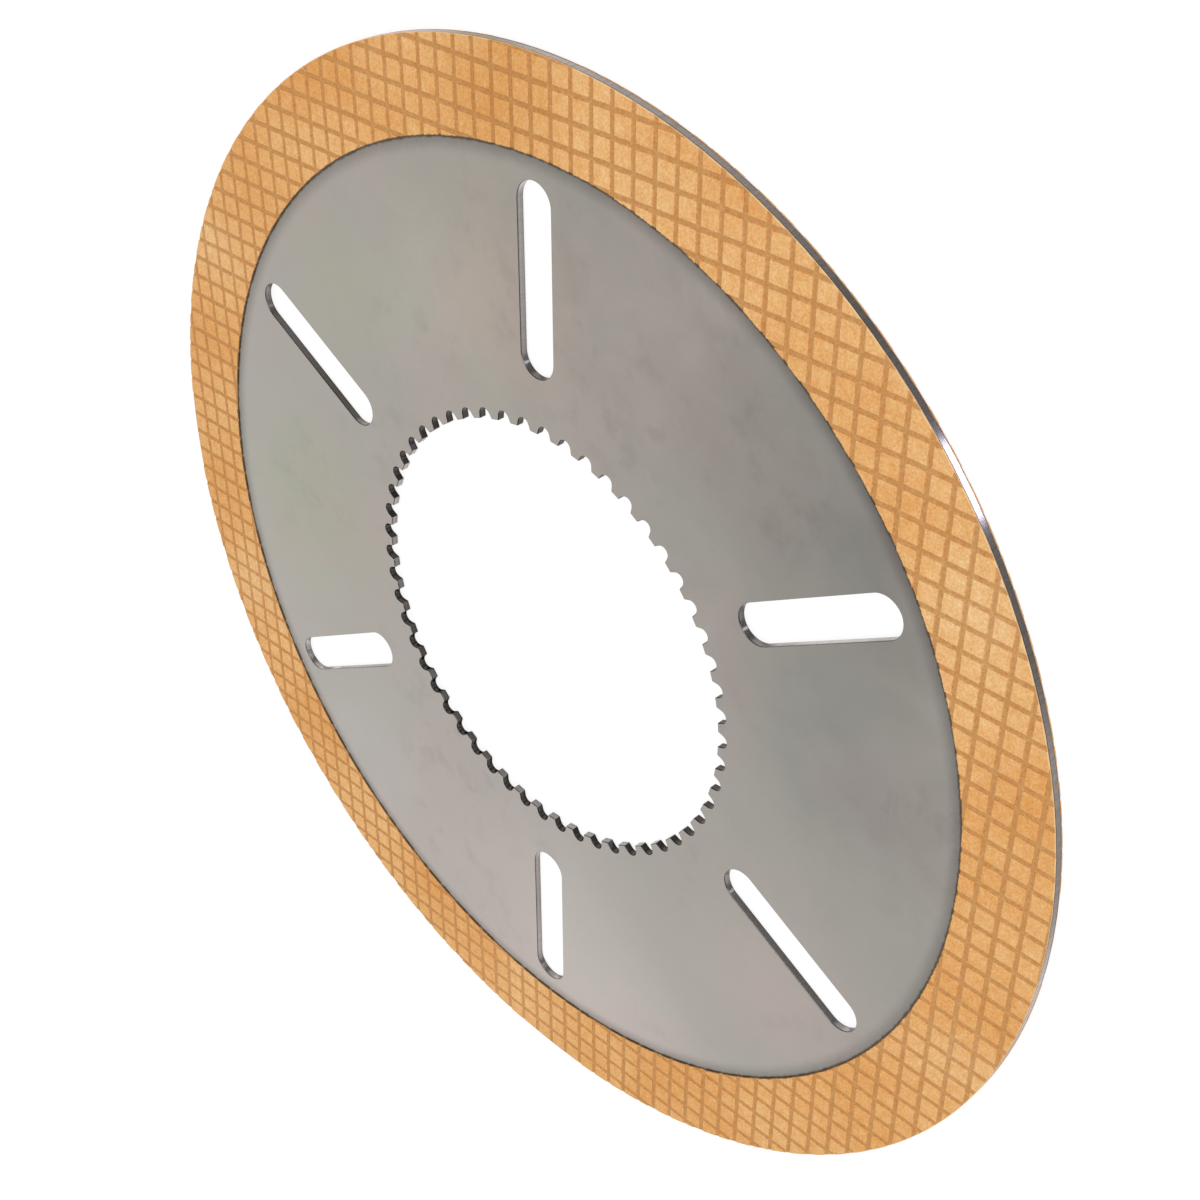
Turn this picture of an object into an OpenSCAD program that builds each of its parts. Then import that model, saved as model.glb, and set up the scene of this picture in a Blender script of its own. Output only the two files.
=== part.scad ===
// Transmission brake disc: a splined steel core plate with a grooved friction facing bonded to each side.
// The disc lies flat. Z is its axis, the origin is at the centre of its underside, and X runs along the
// first slot, which is also the direction of one set of grooves.

/* [Core plate] */
// Outside diameter of the core plate and of both facings
outer_d = 405; // [360:1:450]
// Thickness of the steel core plate
core_t = 2.6; // [2:0.1:5]

/* [Spline] */
// Number of teeth round the bore
spline_teeth = 54; // [44:1:58]
// Module of the spline: its pitch diameter divided by the number of teeth
spline_module = 3; // [2.5:0.05:3.2]
// Pressure angle of the involute flanks
pressure_angle = 30; // [28:0.5:32]
// Turn of the first tooth space from the first slot, in degrees
spline_turn = -1.64; // [-3.3:0.01:3.3]

/* [Slots] */
// Number of radial slots
slot_count = 6; // [3:1:12]
// Width of a slot and of its round ends
slot_w = 14.3; // [6:0.1:24]
// Steel left between the roots of the spline and the inner end of a slot
slot_hub_gap = 16.2; // [6:0.1:30]
// Steel left between the outer end of a slot and the facing's inner edge
slot_rim_gap = 7.6; // [2:0.1:20]

/* [Facings] */
// Width of each friction facing, from its inner edge to its outer edge
facing_w = 30.5; // [20:0.5:40]
// Thickness of each friction facing
facing_t = 0.45; // [0.35:0.05:2]

/* [Grooves] */
// Distance from one groove to the next
groove_pitch = 8.1; // [6:0.1:14]
// Width of a groove
groove_w = 1.7; // [1:0.1:3]
// Depth of a groove
groove_depth = 0.3; // [0.1:0.05:0.3]
// Least reach of a land across the facing's edge: any smaller corner has come away
least_land = 0.8; // [0.4:0.1:2]

/* [Hidden] */
$fn = 360;

outer_r = outer_d / 2;
facing_ir = outer_r - facing_w;

// Spline circles, from the proportions of a 30 degree spline with round roots, in modules
tip_depth = 0.4;
form_height = 0.6;
root_height = 0.9;
pitch_r = spline_module * spline_teeth / 2;
base_r = pitch_r * cos(pressure_angle);
tip_r = pitch_r - tip_depth * spline_module;
form_r = pitch_r + form_height * spline_module;
root_r = pitch_r + root_height * spline_module;

// Points along each flank, and how far it runs past both of its ends to cut cleanly
flank_steps = 3;
flank_from = tip_r - 0.3 * spline_module;
flank_to = form_r + (root_r - form_r) / 4;

// Heights of the layers
core_z = facing_t;
front_z = core_z + core_t;

// Grooves run along X and along Y, and one of each set passes through the centre
land_w = groove_pitch - groove_w;
cells = ceil(outer_r / groove_pitch);

// Involute function, in degrees
function inv(a) = tan(a) * 180 / PI - a;

// Half of the angle that a tooth space takes up at radius r
function half_space(r) = 90 / spline_teeth + inv(pressure_angle) - inv(acos(base_r / r));

// Point of a space's flank at radius r, on the side that sign gives
function flank(r, sign) = r * [cos(half_space(r)), sign * sin(half_space(r))];

// Centre, along the space's middle line, of the circle that goes through both flanks at the form radius and
// touches the root circle
root_c = (root_r ^ 2 - form_r ^ 2) / (2 * (root_r - flank(form_r, 1)[0]));

module tooth_space() {
    radii = [for (i = [0:flank_steps]) flank_from + i * (flank_to - flank_from) / flank_steps];
    polygon(concat(
        [for (i = [0:flank_steps]) flank(radii[i], -1)],
        [for (i = [flank_steps:-1:0]) flank(radii[i], 1)]
    ));
    translate([root_c, 0]) circle(r = root_r - root_c, $fn = 48);
}

module slot() {
    first = root_r + slot_hub_gap + slot_w / 2;
    last = facing_ir - slot_rim_gap - slot_w / 2;
    translate([first, 0]) circle(d = slot_w, $fn = 96);
    translate([last, 0]) circle(d = slot_w, $fn = 96);
    translate([first, -slot_w / 2]) square([last - first, slot_w]);
}

module core_plate() {
    color([0.62, 0.6, 0.58])
    translate([0, 0, core_z]) linear_extrude(core_t) difference() {
        circle(r = outer_r);
        circle(r = tip_r);
        for (k = [0:spline_teeth - 1]) rotate(spline_turn + k * 360 / spline_teeth) tooth_space();
        for (k = [0:slot_count - 1]) rotate(k * 360 / slot_count) slot();
    }
}

module facing_ring() {
    difference() {
        circle(r = outer_r);
        circle(r = facing_ir);
    }
}

// Low edge of the land between grooves i and i + 1
function land_x(i) = i * groove_pitch + groove_w / 2;

// Distances from the centre to the nearest and the farthest corner of land i, j
function near(i) = min(abs(land_x(i)), abs(land_x(i) + land_w));
function far(i) = max(abs(land_x(i)), abs(land_x(i) + land_w));
function near_r(i, j) = norm([near(i), near(j)]);
function far_r(i, j) = norm([far(i), far(j)]);
function in_ring(i, j) = near_r(i, j) > facing_ir && far_r(i, j) < outer_r;
function on_ring(i, j) = near_r(i, j) < outer_r - least_land && far_r(i, j) > facing_ir + least_land;

module land(i, j) {
    translate([land_x(i), land_x(j)]) square(land_w);
}

// One facing lying on its bonded side, with the grooves on top
module grooved_facing() {
    base_t = facing_t - groove_depth;
    linear_extrude(base_t) facing_ring();
    translate([0, 0, base_t]) linear_extrude(groove_depth)
        for (i = [-cells:cells - 1], j = [-cells:cells - 1]) if (in_ring(i, j)) land(i, j);
    translate([0, 0, base_t]) linear_extrude(groove_depth) intersection() {
        facing_ring();
        for (i = [-cells:cells - 1], j = [-cells:cells - 1])
            if (on_ring(i, j) && !in_ring(i, j)) land(i, j);
    }
}

module front_facing() {
    color([0.87, 0.66, 0.42])
    translate([0, 0, front_z]) grooved_facing();
}

module back_facing() {
    color([0.87, 0.66, 0.42])
    translate([0, 0, core_z]) mirror([0, 0, 1]) grooved_facing();
}

core_plate();
front_facing();
back_facing();
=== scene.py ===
"""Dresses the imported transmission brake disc: edges, finishes, camera, floor and light.

Sizes are in metres.
"""
import math

import bmesh
import bpy
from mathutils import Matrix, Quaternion, Vector

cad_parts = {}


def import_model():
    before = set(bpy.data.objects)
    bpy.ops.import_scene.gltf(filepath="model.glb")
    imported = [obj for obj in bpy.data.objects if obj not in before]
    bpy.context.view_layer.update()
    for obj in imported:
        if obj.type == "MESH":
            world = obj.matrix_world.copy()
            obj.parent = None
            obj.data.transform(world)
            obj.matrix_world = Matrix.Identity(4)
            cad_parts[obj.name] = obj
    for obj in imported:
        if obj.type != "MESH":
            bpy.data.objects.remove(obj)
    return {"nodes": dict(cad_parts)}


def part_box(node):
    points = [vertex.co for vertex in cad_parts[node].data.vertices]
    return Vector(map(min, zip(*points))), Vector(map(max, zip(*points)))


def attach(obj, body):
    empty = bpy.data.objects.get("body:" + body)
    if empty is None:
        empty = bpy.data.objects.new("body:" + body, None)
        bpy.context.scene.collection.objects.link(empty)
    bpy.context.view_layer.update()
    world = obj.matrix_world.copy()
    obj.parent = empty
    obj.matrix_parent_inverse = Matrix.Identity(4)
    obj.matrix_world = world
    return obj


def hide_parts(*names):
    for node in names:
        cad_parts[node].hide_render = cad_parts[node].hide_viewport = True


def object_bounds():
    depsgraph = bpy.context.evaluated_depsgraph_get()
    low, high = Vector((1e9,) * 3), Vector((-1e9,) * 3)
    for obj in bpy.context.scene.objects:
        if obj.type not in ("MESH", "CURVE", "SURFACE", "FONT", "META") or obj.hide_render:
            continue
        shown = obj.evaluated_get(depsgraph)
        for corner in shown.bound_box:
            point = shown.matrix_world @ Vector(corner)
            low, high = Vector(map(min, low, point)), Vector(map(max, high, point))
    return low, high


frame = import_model()
cad_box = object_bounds()

MM = 0.001

# The camera stands above the near rim and looks down along the diagonal of a cube. Its lens and sensor are in
# millimetres, and its roll is in degrees
LENS = 55
SENSOR = 36
NEAREST_SEEN = 10 * MM
VIEW_DIRECTION = Vector((-1, 1, -1)).normalized()
VIEW_AIM = Vector((30.3, -27.8, 3.5)) * MM
VIEW_DISTANCE = 590.5 * MM
VIEW_ROLL = 120

# Facings: the grooves follow a square grid that has the disc's axis on a crossing
GROOVE_PITCH = 8.1 * MM
GROOVE_W = 1.7 * MM

# Rounding of the edges: blanked steel, and the softer lands of the facings
STEEL_EDGE = 0.2 * MM
LAND_EDGE = 0.1 * MM

# Tooth spaces of the spline. In the photo their round roots are fuller than the frame's. A root circle is
# given by the distance of its centre from the disc's axis and by its radius
SPACES = 54
FIRST_SPACE = math.radians(-1.64)
FRAME_ROOT_CENTRE = 82.3 * MM
FRAME_ROOT_R = 1.4 * MM
FULL_ROOT_CENTRE = 81.08 * MM
FULL_ROOT_R = 2.42 * MM

# In the frame, what lies between these two distances from the axis belongs to a root circle
ROOT_START = 82.5 * MM
ROOT_END = 84 * MM

# Half the width of a tooth space at the tooth tips, and how much of it is lost for each unit farther out
TIP_HALF_W = 2.93 * MM
FLANK_SLOPE = 0.3

# How near a point lies to a level, and to its twin, to count as the same
NEAR = 0.01 * MM
SAME = 0.002 * MM

# Walls that turn by less than this look smooth, and a face whose normal's z is above FLAT is a flat face
SMOOTH_ANGLE = math.radians(20)
FLAT = 0.99

# The levels and circles that matter, read from the frame
core_low, core_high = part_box("core_plate")
OUTER_R = core_high.x
CORE_LOW = core_low.z
CORE_HIGH = core_high.z
THICKNESS = cad_box[1].z
MIDDLE_Z = THICKNESS / 2


def radius_of(point):
    return math.hypot(point.x, point.y)


def smallest_radius(node):
    return min(radius_of(vert.co) for vert in frame["nodes"][node].data.vertices)


FACING_R = smallest_radius("front_facing")
TIP_R = smallest_radius("core_plate")


def linear(red, green, blue):
    """An sRGB colour from 0 to 255 as a linear one."""
    def one(value):
        value = value / 255
        return value / 12.92 if value <= 0.04045 else ((value + 0.055) / 1.055) ** 2.4
    return (one(red), one(green), one(blue), 1)


def grey(level):
    return (level, level, level, 1)


# Shader helpers

class Graph:
    """A node tree that is built with short calls. Most of them give back the output of a new node."""

    def __init__(self, owner):
        owner.use_nodes = True
        self.tree = owner.node_tree
        self.tree.nodes.clear()

    def node(self, kind, inputs=(), **settings):
        made = self.tree.nodes.new("ShaderNode" + kind)
        for name, value in settings.items():
            setattr(made, name, value)
        for name, value in dict(inputs).items():
            self.put(made.inputs[name], value)
        return made

    def put(self, socket, value):
        if isinstance(value, bpy.types.NodeSocket):
            self.tree.links.new(value, socket)
        else:
            socket.default_value = value

    def math(self, operation, first, second=0.0):
        return self.node("Math", {0: first, 1: second}, operation=operation).outputs[0]

    def vector(self, operation, *values):
        made = self.node("VectorMath", enumerate(values), operation=operation)
        return made.outputs["Value" if operation in ("DISTANCE", "DOT_PRODUCT") else "Vector"]

    def combine(self, x=0.0, y=0.0, z=0.0):
        return self.node("CombineXYZ", {0: x, 1: y, 2: z}).outputs[0]

    def smooth(self, value, start, end, low=0.0, high=1.0):
        """Goes from low to high as value goes from start to end."""
        made = self.node("MapRange", {"Value": value}, interpolation_type="SMOOTHSTEP")
        self.put(made.inputs["From Min"], start)
        self.put(made.inputs["From Max"], end)
        self.put(made.inputs["To Min"], low)
        self.put(made.inputs["To Max"], high)
        return made.outputs["Result"]

    def blend(self, share, low, high):
        """Goes from low to high as share goes from 0 to 1."""
        return self.smooth(share, 0.0, 1.0, low, high)

    def noise(self, place, scale, detail=2.0, roughness=0.5, distortion=0.0):
        """Cloudy values from 0 to 1 with features of about 1 / scale metres."""
        made = self.node("TexNoise", {"Vector": place, "Scale": scale, "Detail": detail})
        self.put(made.inputs["Roughness"], roughness)
        self.put(made.inputs["Distortion"], distortion)
        return made.outputs["Fac"]

    def sway(self, value, size):
        """Goes from minus half of size to plus half of it as value goes from 0 to 1."""
        return self.math("MULTIPLY", self.math("SUBTRACT", value, 0.5), size)

    def swing(self, value, size):
        """As sway, but round 1: a factor that makes a colour lighter or darker."""
        return self.math("ADD", self.sway(value, size), 1.0)

    def tint(self, value, sizes):
        """As swing, with its own size for each of red, green and blue."""
        start = tuple(1 - size / 2 for size in sizes)
        return self.vector("MULTIPLY_ADD", value, sizes, start)

    def mix(self, share, first, second):
        """The first colour where share is 0, and the second where it is 1."""
        made = self.node("Mix", data_type="RGBA")
        self.put(made.inputs[0], share)
        self.put(made.inputs[6], first)
        self.put(made.inputs[7], second)
        return made.outputs[2]

    def scale(self, colour, factor):
        return self.node("VectorMath", {0: colour, "Scale": factor}, operation="SCALE").outputs[0]

    def place(self):
        """The point on the object, and its three coordinates."""
        point = self.node("TexCoord").outputs["Object"]
        parts = self.node("SeparateXYZ", {0: point}).outputs
        return point, parts[0], parts[1], parts[2]

    def radius(self, x, y):
        squares = self.math("ADD", self.math("MULTIPLY", x, x), self.math("MULTIPLY", y, y))
        return self.math("SQRT", squares)

    def zones(self, point, rows):
        """A tint that is 1 apart from soft round zones, one for each row."""
        total = (1, 1, 1)
        for degrees, distance, reach, tint in rows:
            angle = math.radians(degrees)
            centre = (distance * MM * math.cos(angle), distance * MM * math.sin(angle), MIDDLE_Z)
            away = self.vector("DISTANCE", point, centre)
            share = self.smooth(away, 0.0, reach * MM, low=1.0, high=0.0)
            total = self.vector("MULTIPLY_ADD", share, tint, total)
        return total

    def wander(self, point, scale, reach):
        """The point moved about by up to half the reach, which gives what is painted an uneven outline."""
        drift = self.node("TexNoise", {"Vector": point, "Scale": scale, "Detail": 3.0}).outputs["Color"]
        centred = self.vector("SUBTRACT", drift, (0.5, 0.5, 0.5))
        return self.vector("MULTIPLY_ADD", centred, (reach, reach, 0), point)

    def bump(self, height, distance):
        made = self.node("Bump", {"Height": height, "Distance": distance, "Strength": 1.0})
        return made.outputs["Normal"]

    def finish(self, shader, kind="OutputMaterial"):
        self.node(kind, {"Surface": shader})


# Steel faces

STEEL = linear(179, 172, 166)
STEEL_WARM = linear(185, 172, 164)
STEEL_COOL = linear(171, 174, 163)
RESIDUE = linear(78, 66, 50)

# How much of the plain steel colour is mixed into the warm and cool patches
PLAIN_SHARE = 0.7

# How strongly each pattern makes the steel lighter and darker, and how deep the grain is
CLOUD_SIZE = 0.3
BLOTCH_DEPTH = 0.08
RING_SIZE = 0.1
GRAIN_SIZE = 0.05
GRAIN_DEPTH = 0.004 * MM

# Painted shade darkens the steel towards the facing, and a wavering line of residue follows the facing's
# inner edge
SHADE_START = FACING_R - 6 * MM
SHADE_END = FACING_R + 0.4 * MM
SHADE_LEVEL = 0.62
RESIDUE_START = FACING_R - 1 * MM
RESIDUE_END = FACING_R - 0.2 * MM
RESIDUE_SHARE = 0.85
RESIDUE_WAVER = 1.4 * MM

# Painted reflections and light fall on the steel, as broad soft zones: angle in degrees, distance from the
# axis and reach in mm, and what the middle of the zone adds to a factor of 1 for red, green and blue
STEEL_REFLECTION_ZONES = (
    (185, 150, 95, (0.23, 0.2, 0.22)),
    (12, 130, 75, (0.11, 0.06, 0.01)),
    (-50, 160, 80, (-0.2, -0.19, -0.19)),
    (-20, 150, 50, (0.07, 0.04, 0.03)),
    (278, 130, 60, (-0.16, -0.14, -0.13)),
    (232, 140, 60, (0.11, 0.07, 0.07)),
    (140, 155, 60, (0.05, 0.06, 0.09)),
    (92, 130, 60, (-0.06, 0.0, -0.11)),
    (45, 140, 50, (0.02, 0.04, -0.04)),
    (25, 120, 60, (0.07, 0.09, 0.08)),
)


def steel_patches_and_reflections(graph, point):
    """The steel's colour, with warm and cool patches and with painted reflections in broad lighter and darker
    zones.
    """
    hue = graph.noise(point, scale=14, detail=4, roughness=0.6, distortion=0.4)
    patches = graph.mix(graph.smooth(hue, 0.42, 0.58), STEEL_COOL, STEEL_WARM)
    colour = graph.mix(PLAIN_SHARE, patches, STEEL)
    # Painted reflections and light fall: broad lighter and darker zones on the steel
    zones = graph.zones(graph.wander(point, scale=18, reach=50 * MM), STEEL_REFLECTION_ZONES)
    return graph.vector("MULTIPLY", colour, zones)


def blotches(graph, point):
    """A factor that darkens small blotches, which come in groups."""
    spots = graph.smooth(graph.noise(point, scale=95, detail=3, roughness=0.6), 0.5, 0.7, high=BLOTCH_DEPTH)
    groups = graph.smooth(graph.noise(point, scale=12, detail=1), 0.45, 0.6)
    return graph.math("SUBTRACT", 1.0, graph.math("MULTIPLY", spots, groups))


def turning_rings(graph, point, radius):
    """A factor for faint rings round the axis, which show on parts of the face only."""
    rings = graph.noise(graph.combine(x=radius), scale=900)
    shown = graph.smooth(graph.noise(point, scale=14, detail=1), 0.5, 0.7)
    return graph.swing(rings, graph.math("MULTIPLY", shown, RING_SIZE))


def painted_shade_and_residue(graph, point, radius, colour):
    """The colour, with painted shade towards the facing and covered by the line of residue."""
    uneven = graph.noise(point, scale=420, detail=3, roughness=0.7)
    wavering = graph.math("ADD", radius, graph.sway(uneven, RESIDUE_WAVER))
    # Painted shade that darkens the steel towards the facing
    shade = graph.smooth(wavering, SHADE_START, SHADE_END, low=1.0, high=SHADE_LEVEL)
    covered = graph.smooth(wavering, RESIDUE_START, RESIDUE_END, high=RESIDUE_SHARE)
    return graph.mix(covered, graph.scale(colour, shade), RESIDUE)


def steel_face():
    """The satin, faintly clouded face of the core plate, with painted reflections in broad zones, painted
    shade towards the facing and residue along the facing's inner edge.
    """
    material = bpy.data.materials.new("steel_face")
    graph = Graph(material)
    point, x, y, _ = graph.place()
    radius = graph.radius(x, y)
    clouds = graph.noise(point, scale=34, detail=4, roughness=0.6, distortion=0.6)
    grain = graph.noise(point, scale=1500)

    colour = steel_patches_and_reflections(graph, point)
    colour = graph.scale(colour, graph.swing(clouds, CLOUD_SIZE))
    colour = graph.scale(colour, blotches(graph, point))
    colour = graph.scale(colour, turning_rings(graph, point, radius))
    colour = graph.scale(colour, graph.swing(grain, GRAIN_SIZE))
    colour = painted_shade_and_residue(graph, point, radius, colour)

    shader = graph.node("BsdfPrincipled", {"Base Color": colour, "Metallic": 1.0})
    graph.put(shader.inputs["Roughness"], graph.smooth(clouds, 0.3, 0.7, low=0.36, high=0.44))
    graph.put(shader.inputs["Normal"], graph.bump(grain, GRAIN_DEPTH))
    graph.finish(shader.outputs[0])
    return material


# Cut edges of the steel

WALL = linear(176, 169, 165)
# The darker colour of the tooth spaces' walls is painted shade between neighbouring teeth
WALL_GAP_SHADE = linear(98, 95, 91)

# The walls of the tooth spaces, but not the tooth tips, lie between these two distances from the axis, and
# get painted shade there
GAP_START = TIP_R + 0.15 * MM
GAP_END = TIP_R + 6 * MM

# The finish changes between these distances, from the slots and the spline to the rim
RIM_START = FACING_R
RIM_END = FACING_R + 10 * MM

# In each pair, the first value is for the slots and the spline, and the second for the rim
STREAK_SIZE = (0.35, 0.7)
LAYER_SIZE = (1.2, 0.3)
WALL_ROUGHNESS = (0.21, 0.18)
WALL_ANISOTROPY = 0.83

# The walls carry a painted dark reflection along their upper and lower edge: dark up to the first of these
# distances from the edge, and at full strength from the second
DARK_EDGE = 0.12 * MM
FULL_EDGE = 0.4 * MM
EDGE_REFLECTION_DARKNESS = 0.4

# The cut edges are a little crowned, so they mirror what stands round the disc more than what it lies on
WALL_LEAN = math.tan(math.radians(30))

# Painted reflections on the walls as soft zones, and painted shade that darkens three slot ends. Rows as for
# the steel face's zones
WALL_REFLECTION_ZONES = (
    (300, 130, 36, (0.5, 0.54, 0.58)),
    (300, 104, 9, (-0.6, -0.6, -0.6)),
    (0, 104, 9, (-0.6, -0.6, -0.6)),
    (60, 160, 9, (-0.6, -0.6, -0.6)),
    (60, 118, 32, (-0.38, -0.4, -0.48)),
    (0, 138, 50, (0.3, 0.32, 0.35)),
    (180, 152, 25, (0.3, 0.3, 0.3)),
    (120, 158, 35, (0.4, 0.42, 0.45)),
    (-26, 202, 35, (0.6, 0.6, 0.6)),
    (-84, 202, 45, (-0.35, -0.35, -0.35)),
    (-106, 202, 35, (-0.15, -0.3, -0.42)),
    (6, 202, 32, (-0.35, -0.37, -0.42)),
    (121, 80, 60, (-0.5, -0.49, -0.49)),
    (203, 80, 18, (-0.25, -0.22, -0.22)),
)


def steel_wall():
    """The cut edges: drawn across the thickness, with fine streaks, painted shade in the tooth spaces,
    painted reflections in zones, and a painted dark reflection along both edges.
    """
    material = bpy.data.materials.new("steel_wall")
    graph = Graph(material)
    point, x, y, z = graph.place()
    radius = graph.radius(x, y)
    at_rim = graph.smooth(radius, RIM_START, RIM_END)

    # Painted reflections: lighter and darker zones on the walls
    colour = graph.vector("MULTIPLY", graph.zones(point, WALL_REFLECTION_ZONES), WALL[:3])
    # Painted shade on the walls of the tooth spaces
    past_start = graph.math("GREATER_THAN", radius, GAP_START)
    past_end = graph.math("GREATER_THAN", radius, GAP_END)
    colour = graph.mix(graph.math("SUBTRACT", past_start, past_end), colour, WALL_GAP_SHADE)
    streaks = graph.noise(graph.combine(x, y), scale=900, roughness=0.6)
    colour = graph.scale(colour, graph.swing(streaks, graph.blend(at_rim, *STREAK_SIZE)))
    layers = graph.noise(graph.combine(z=z), scale=1700, detail=1)
    colour = graph.scale(colour, graph.swing(layers, graph.blend(at_rim, *LAYER_SIZE)))
    # Painted dark reflection along the upper and lower edge of the walls
    from_middle = graph.math("ABSOLUTE", graph.math("SUBTRACT", z, MIDDLE_Z))
    from_edge = graph.math("SUBTRACT", MIDDLE_Z - CORE_LOW, from_middle)
    colour = graph.scale(colour, graph.smooth(from_edge, DARK_EDGE, FULL_EDGE, low=EDGE_REFLECTION_DARKNESS))

    shader = graph.node("BsdfPrincipled", {"Base Color": colour, "Metallic": 1.0})
    graph.put(shader.inputs["Roughness"], graph.blend(at_rim, *WALL_ROUGHNESS))
    graph.put(shader.inputs["Anisotropic"], WALL_ANISOTROPY)
    graph.put(shader.inputs["Tangent"], graph.combine(z=1.0))
    leaning = graph.vector("ADD", graph.node("NewGeometry").outputs["Normal"], (0, 0, WALL_LEAN))
    graph.put(shader.inputs["Normal"], graph.vector("NORMALIZE", leaning))
    graph.finish(shader.outputs[0])
    return material


# Friction facings

LAND_DEEP = linear(222, 158, 88)
LAND_PALE = linear(232, 181, 120)
# The grooves' colour: partly the facing's own darker colour, partly painted shade in the recess
GROOVE_SHADED = linear(198, 144, 86)
SPECK = linear(110, 76, 50)
# Colour of the painted highlight along the front facing's rim
RIM_EDGE_HIGHLIGHT = linear(245, 214, 168)

# The groove's colour turns into the land's between these distances from the groove's middle line
LAND_START = GROOVE_W / 2 - 0.4 * MM
LAND_FULL = GROOVE_W / 2 + 0.18 * MM
GROOVE_WAVER = 0.35 * MM

# How much paler than its neighbours a land can be
OWN_PALENESS = 0.12

# How strongly fibres and flecks change red, green and blue, and how far the fibres stand out
FIBRE_SIZES = (0.65, 0.85, 1.2)
FLECK_SIZES = (0.15, 0.55, 1.1)
FIBRE_DEPTH = 0.03 * MM

# Dark specks: cells in a metre, the share of the cells without a speck, and how far one reaches, in cells
SPECK_CELLS = 55
SPECK_CHANCE = 0.9
SPECK_FULL = 0.02
SPECK_END = 0.04

# The facing is dark where it is torn along its inner edge, as distances from that edge
TORN_FULL = 0.1 * MM
TORN_END = 0.4 * MM
TORN_SHARE = 0.8
TORN_WAVER = 1.1 * MM

# The front facing has a painted highlight along the rim
RIM_HIGHLIGHT_START = OUTER_R - 0.3 * MM
RIM_HIGHLIGHT_FULL = OUTER_R - 0.05 * MM
RIM_HIGHLIGHT_SHARE = 0.6

# Where the facings have gone paler or deeper, with rows as in STEEL_REFLECTION_ZONES
FACING_ZONES = (
    (62, 194, 26, (0.04, 0.14, 0.32)),
    (-61, 192, 26, (0.04, 0.14, 0.32)),
    (-109, 190, 26, (0.04, 0.14, 0.32)),
    (109, 186, 26, (0.04, 0.14, 0.32)),
    (172, 192, 50, (0.05, 0.12, 0.28)),
    (4, 188, 45, (-0.06, -0.1, -0.18)),
)


def from_groove(graph, coordinate):
    """The distance to the middle line of the nearest groove of one set, and the number of the land."""
    steps = graph.math("DIVIDE", coordinate, GROOVE_PITCH)
    away = graph.math("ABSOLUTE", graph.math("SUBTRACT", steps, graph.math("ROUND", steps)))
    return graph.math("MULTIPLY", away, GROOVE_PITCH), graph.math("FLOOR", steps)


def lands(graph, point, x, y, z):
    """The facing's colour: darker grooves, partly painted shade, and lands between them that each have a
    shade of their own.
    """
    away_x, number_x = from_groove(graph, x)
    away_y, number_y = from_groove(graph, y)
    side = graph.math("SIGN", graph.math("SUBTRACT", z, MIDDLE_Z))
    land = graph.combine(number_x, number_y, side)
    own = graph.node("TexWhiteNoise", {"Vector": land}, noise_dimensions="3D").outputs["Value"]
    pale = graph.smooth(graph.noise(point, scale=16), 0.25, 0.75)
    pale = graph.math("ADD", pale, graph.math("MULTIPLY", own, OWN_PALENESS))
    ragged = graph.sway(graph.noise(point, scale=700), GROOVE_WAVER)
    away = graph.math("ADD", graph.math("MINIMUM", away_x, away_y), ragged)
    # The grooves' darkness is partly painted shade
    on_land = graph.smooth(away, LAND_START, LAND_FULL)
    return graph.mix(on_land, GROOVE_SHADED, graph.mix(pale, LAND_DEEP, LAND_PALE))


def specks(graph, point):
    """1 where there is a dark speck: a small round spot in a few of the cells."""
    cells = graph.node("TexVoronoi", {"Vector": point, "Scale": SPECK_CELLS}).outputs
    chance = graph.node("SeparateXYZ", {0: cells["Color"]}).outputs[0]
    spot = graph.smooth(cells["Distance"], SPECK_FULL, SPECK_END, low=1.0, high=0.0)
    return graph.math("MULTIPLY", spot, graph.math("GREATER_THAN", chance, SPECK_CHANCE))


def torn_inside(graph, point, radius):
    """How much of the facing is torn, along a wavering line at its inner edge."""
    wobble = graph.sway(graph.noise(point, scale=600, detail=3, roughness=0.7), TORN_WAVER)
    from_inside = graph.math("ADD", graph.math("SUBTRACT", radius, FACING_R), wobble)
    return graph.smooth(from_inside, TORN_FULL, TORN_END, low=TORN_SHARE, high=0.0)


def rim_highlight(graph, radius, z):
    """How strongly the painted highlight lightens the front facing along the rim."""
    near_rim = graph.smooth(radius, RIM_HIGHLIGHT_START, RIM_HIGHLIGHT_FULL, high=RIM_HIGHLIGHT_SHARE)
    return graph.math("MULTIPLY", near_rim, graph.math("GREATER_THAN", z, MIDDLE_Z))


def friction():
    """The matt friction facing: speckled lands, darker grooves between them that are partly painted shade, a
    few dark specks, and a painted highlight along the rim.
    """
    material = bpy.data.materials.new("friction")
    graph = Graph(material)
    point, x, y, z = graph.place()
    radius = graph.radius(x, y)
    fibres = graph.noise(point, scale=1350, roughness=0.65)
    flecks = graph.noise(point, scale=330, detail=3, roughness=0.6)
    zones = graph.zones(graph.wander(point, scale=60, reach=12 * MM), FACING_ZONES)

    colour = graph.vector("MULTIPLY", lands(graph, point, x, y, z), zones)
    colour = graph.vector("MULTIPLY", colour, graph.tint(fibres, FIBRE_SIZES))
    colour = graph.vector("MULTIPLY", colour, graph.tint(flecks, FLECK_SIZES))
    colour = graph.mix(specks(graph, point), colour, SPECK)
    colour = graph.mix(torn_inside(graph, point, radius), colour, RESIDUE)
    # Painted highlight along the front facing's rim
    colour = graph.mix(rim_highlight(graph, radius, z), colour, RIM_EDGE_HIGHLIGHT)

    shader = graph.node("BsdfPrincipled", {"Base Color": colour, "Roughness": 0.85})
    graph.put(shader.inputs["Specular IOR Level"], 0.25)
    graph.put(shader.inputs["Normal"], graph.bump(fibres, FIBRE_DEPTH))
    graph.finish(shader.outputs[0])
    return material


# Pieces

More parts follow.
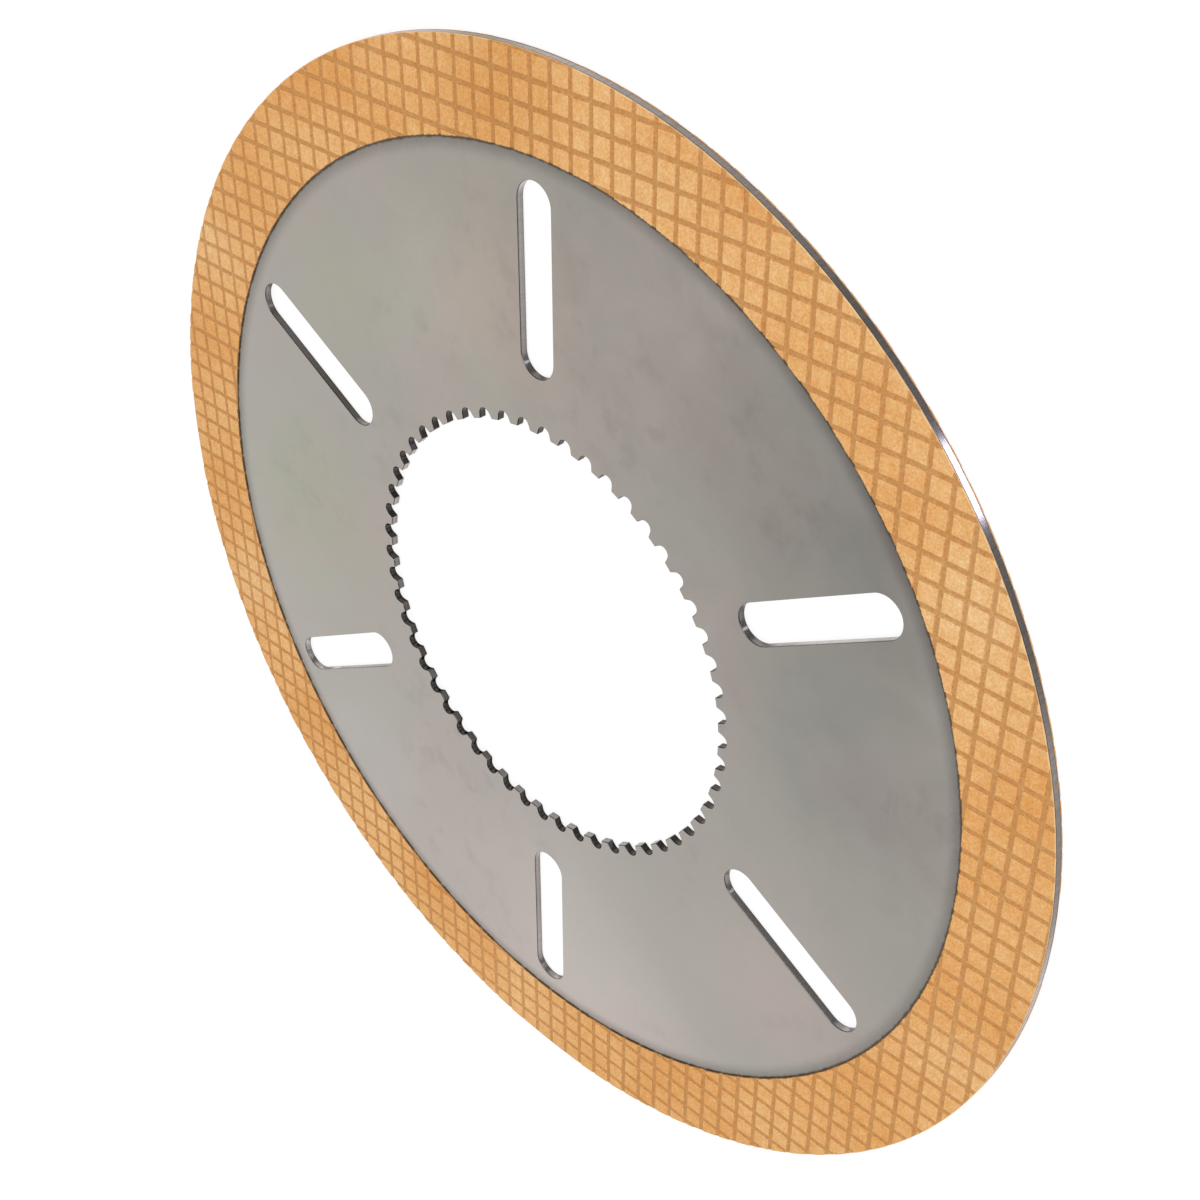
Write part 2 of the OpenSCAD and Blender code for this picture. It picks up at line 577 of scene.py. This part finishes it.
# The middle line of a quarter round lies at this share of the way, both along the step and along the drop
HALFWAY_ROUND = 1 - math.sqrt(0.5)

# The step inward at a corner is divided by 1 plus the cosine of the outline's turn, but by no less than this,
# so that a sharp corner gets no long mitre
LEAST_DIVISOR = 0.4


def inward(start, end, outward):
    """The direction in the plane that points from an outline's edge into its flat face."""
    along = end.co - start.co
    return Vector((-along.y, along.x, 0)).normalized() * outward


def round_edge(mesh, height, outward, edge):
    """Rounds the outline of the flat faces at that height, and gives back the faces of the rounding.

    Outward is 1 if the flat faces look up and -1 if they look down.
    """
    flat = {
        face for face in mesh.faces
        if face.normal.z * outward > FLAT and abs(face.calc_center_median().z - height) < NEAR
    }
    after = {
        loop.vert: loop.link_loop_next.vert for face in flat for loop in face.loops
        if not flat.issuperset(loop.edge.link_faces)
    }
    before = {end: start for start, end in after.items()}
    drop = Vector((0, 0, -outward * edge))
    middle = {}
    inner = {}
    for vert in after:
        first = inward(before[vert], vert, outward)
        second = inward(vert, after[vert], outward)
        step = (first + second) / max(1 + first.dot(second), LEAST_DIVISOR) * edge
        middle[vert] = mesh.verts.new(vert.co + (step + drop) * HALFWAY_ROUND)
        inner[vert] = mesh.verts.new(vert.co + step)
    for face in flat:
        mesh.faces.new([inner.get(vert, vert) for vert in face.verts])
    bmesh.ops.delete(mesh, geom=list(flat), context="FACES_KEEP_BOUNDARY")
    rounding = []
    for start, end in after.items():
        rounding.append(mesh.faces.new([start, end, middle[end], middle[start]]))
        rounding.append(mesh.faces.new([middle[start], middle[end], inner[end], inner[start]]))
    for vert in after:
        vert.co += drop
    return rounding


def fuller_spaces(mesh):
    """Moves the walls of the tooth spaces out to the fuller round roots."""
    pitch = math.tau / SPACES
    growth = FULL_ROOT_R / FRAME_ROOT_R
    for vert in mesh.verts:
        distance = radius_of(vert.co)
        if not TIP_R + NEAR < distance < ROOT_END:
            continue
        angle = math.atan2(vert.co.y, vert.co.x) - FIRST_SPACE
        middle = round(angle / pitch) * pitch
        along = distance * math.cos(angle - middle)
        across = distance * math.sin(angle - middle)
        if distance > ROOT_START:
            along = FULL_ROOT_CENTRE + (along - FRAME_ROOT_CENTRE) * growth
            across = across * growth
        else:
            across = math.copysign(TIP_HALF_W - FLANK_SLOPE * (distance - TIP_R), across)
        turn = middle + FIRST_SPACE
        vert.co.x = along * math.cos(turn) - across * math.sin(turn)
        vert.co.y = along * math.sin(turn) + across * math.cos(turn)


def shade_faces(mesh, rounding):
    """Smooth shading, broken at hard edges. Flat faces get the first material and all others the second."""
    for face in mesh.faces:
        face.smooth = True
        face.material_index = 0 if abs(face.normal.z) > FLAT and face not in rounding else 1
    for line in mesh.edges:
        inside = len(rounding.intersection(line.link_faces))
        line.smooth = inside == 2 or inside == 0 and line.calc_face_angle(math.pi) < SMOOTH_ANGLE


def rounded_copy(node, edge, levels):
    """A new piece with the node's form and with rounded edges on its flat faces at those levels."""
    mesh = bmesh.new()
    mesh.from_mesh(frame["nodes"][node].data)
    bmesh.ops.remove_doubles(mesh, verts=mesh.verts, dist=SAME)
    if node == "core_plate":
        fuller_spaces(mesh)
    rounding = set()
    for height, outward in levels:
        rounding.update(round_edge(mesh, height, outward, edge))
    mesh.normal_update()
    shade_faces(mesh, rounding)
    name = node + "_rounded"
    data = bpy.data.meshes.new(name)
    mesh.to_mesh(data)
    mesh.free()
    piece = bpy.data.objects.new(name, data)
    bpy.context.collection.objects.link(piece)
    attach(piece, "root")
    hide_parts(node)
    return piece


def core_plate():
    piece = rounded_copy("core_plate", STEEL_EDGE, [(CORE_HIGH, 1), (CORE_LOW, -1)])
    piece.data.materials.append(steel_face())
    piece.data.materials.append(steel_wall())


def facings():
    """Both facings. Their flat faces and their walls have the same finish."""
    material = friction()
    for node, level in (("front_facing", (THICKNESS, 1)), ("back_facing", (0, -1))):
        piece = rounded_copy(node, LAND_EDGE, [level])
        piece.data.materials.append(material)
        piece.data.materials.append(material)


# Stage

FLOOR_SIZE = 12
FLOOR_DROP = 0.1 * MM

# To the camera and in mirrors the floor glows, with one strength for each, and has a faint surface besides.
# For the light that it throws on the disc it has a plain pale one
FLOOR_GLOW = (0.8, 1.0)
FLOOR_FAINT = grey(0.25)
FLOOR_PALE = grey(0.8)

# Towards the side of the studio that is near the camera
NEAR_SIDE = (math.sqrt(0.5), -math.sqrt(0.5), 0)

# What metal mirrors of the studio: the backdrop beyond the disc and beside it, and the room on the near side.
# Higher up that is dimmer by a factor, to which another one is added straight overhead
BACKDROP_FAR = 1.3
BACKDROP_BESIDE = 0.58
ROOM_LEVEL = 0.18
UPPER_FACTOR = 0.33
OVERHEAD_FACTOR = 0.7

# How strongly the studio lights what is matt
STUDIO_LIGHT = 0.75


def ray_kinds(graph):
    """1 for rays that come straight to the camera, and 1 for those that come by way of metal or glass."""
    path = graph.node("LightPath").outputs
    return path["Is Camera Ray"], graph.math("MAXIMUM", path["Is Glossy Ray"], path["Is Transmission Ray"])


def floor():
    data = bpy.data.meshes.new("floor")
    half = FLOOR_SIZE / 2
    corners = [(-half, -half, 0), (half, -half, 0), (half, half, 0), (-half, half, 0)]
    data.from_pydata(corners, [], [(0, 1, 2, 3)])
    plane = bpy.data.objects.new("floor", data)
    plane.location.z = -FLOOR_DROP
    bpy.context.collection.objects.link(plane)
    material = bpy.data.materials.new("pale_floor")
    graph = Graph(material)
    straight, mirrored = ray_kinds(graph)
    glow = graph.node("Emission", {"Strength": graph.blend(mirrored, *FLOOR_GLOW)}).outputs[0]
    faint = graph.node("BsdfDiffuse", {"Color": FLOOR_FAINT}).outputs[0]
    shown = graph.node("AddShader", {0: glow, 1: faint}).outputs[0]
    pale = graph.node("BsdfDiffuse", {"Color": FLOOR_PALE}).outputs[0]
    seen = graph.math("MAXIMUM", straight, mirrored)
    graph.finish(graph.node("MixShader", {0: seen, 1: pale, 2: shown}).outputs[0])
    data.materials.append(material)


def mirrored_studio(graph):
    """The strength of what metal mirrors, by the side that it lies on and by its height."""
    direction = graph.node("TexCoord").outputs["Generated"]
    side = graph.vector("DOT_PRODUCT", direction, NEAR_SIDE)
    height = graph.node("SeparateXYZ", {0: direction}).outputs[2]
    backdrop = graph.smooth(side, -1.0, 0.35, low=BACKDROP_FAR, high=BACKDROP_BESIDE)
    room = graph.smooth(side, 0.45, 0.78)
    dimming = graph.math("MULTIPLY", graph.math("SUBTRACT", ROOM_LEVEL, backdrop), room)
    upper = graph.smooth(height, 0.4, 0.78, low=1.0, high=UPPER_FACTOR)
    overhead = graph.smooth(height, 0.88, 1.0, high=OVERHEAD_FACTOR)
    return graph.math("MULTIPLY", graph.math("ADD", dimming, backdrop), graph.math("ADD", upper, overhead))


def world():
    """White to the camera. Metal mirrors a bright backdrop beyond the disc and a dim room before it."""
    sky = bpy.data.worlds.new("studio")
    bpy.context.scene.world = sky
    graph = Graph(sky)
    straight, mirrored = ray_kinds(graph)
    seen = graph.math("ADD", graph.math("MULTIPLY", mirrored, mirrored_studio(graph)), straight)
    lighting = graph.math("SUBTRACT", 1.0, graph.math("MAXIMUM", mirrored, straight))
    strength = graph.math("ADD", seen, graph.math("MULTIPLY", lighting, STUDIO_LIGHT))
    shader = graph.node("Background", {"Color": grey(1.0), "Strength": strength})
    graph.finish(shader.outputs[0], "OutputWorld")


def soft_light(name, place, target, width, height, power, colour=(1, 1, 1)):
    lamp = bpy.data.lights.new(name, "AREA")
    lamp.color = colour
    lamp.shape = "RECTANGLE"
    lamp.size = width
    lamp.size_y = height
    lamp.energy = power
    holder = bpy.data.objects.new(name, lamp)
    bpy.context.collection.objects.link(holder)
    holder.location = place
    holder.rotation_euler = (Vector(target) - Vector(place)).to_track_quat("-Z", "Y").to_euler()


def lights():
    """A soft key light from above, and a small one that makes the highlight on the rim."""
    soft_light("key", place=(0.35, -0.63, 1.75), target=(0, 0, 0), width=1.2, height=1.2, power=9.7)
    soft_light(
        "strip", place=(0.886, -1.275, 0.305), target=(0.125, -0.16, 0.002),
        width=0.32, height=0.24, power=2.1, colour=(0.74, 0.76, 1),
    )


def camera():
    data = bpy.data.cameras.new("camera")
    data.lens = LENS
    data.sensor_width = SENSOR
    data.clip_start = NEAREST_SEEN
    holder = bpy.data.objects.new("camera", data)
    bpy.context.collection.objects.link(holder)
    holder.location = VIEW_AIM - VIEW_DIRECTION * VIEW_DISTANCE
    level = VIEW_DIRECTION.to_track_quat("-Z", "Y")
    turn = Quaternion((0, 0, 1), -math.radians(VIEW_ROLL))
    holder.rotation_mode = "QUATERNION"
    holder.rotation_quaternion = level @ turn
    bpy.context.scene.camera = holder


bpy.context.scene.view_settings.view_transform = "Standard"
core_plate()
facings()
floor()
world()
lights()
camera()
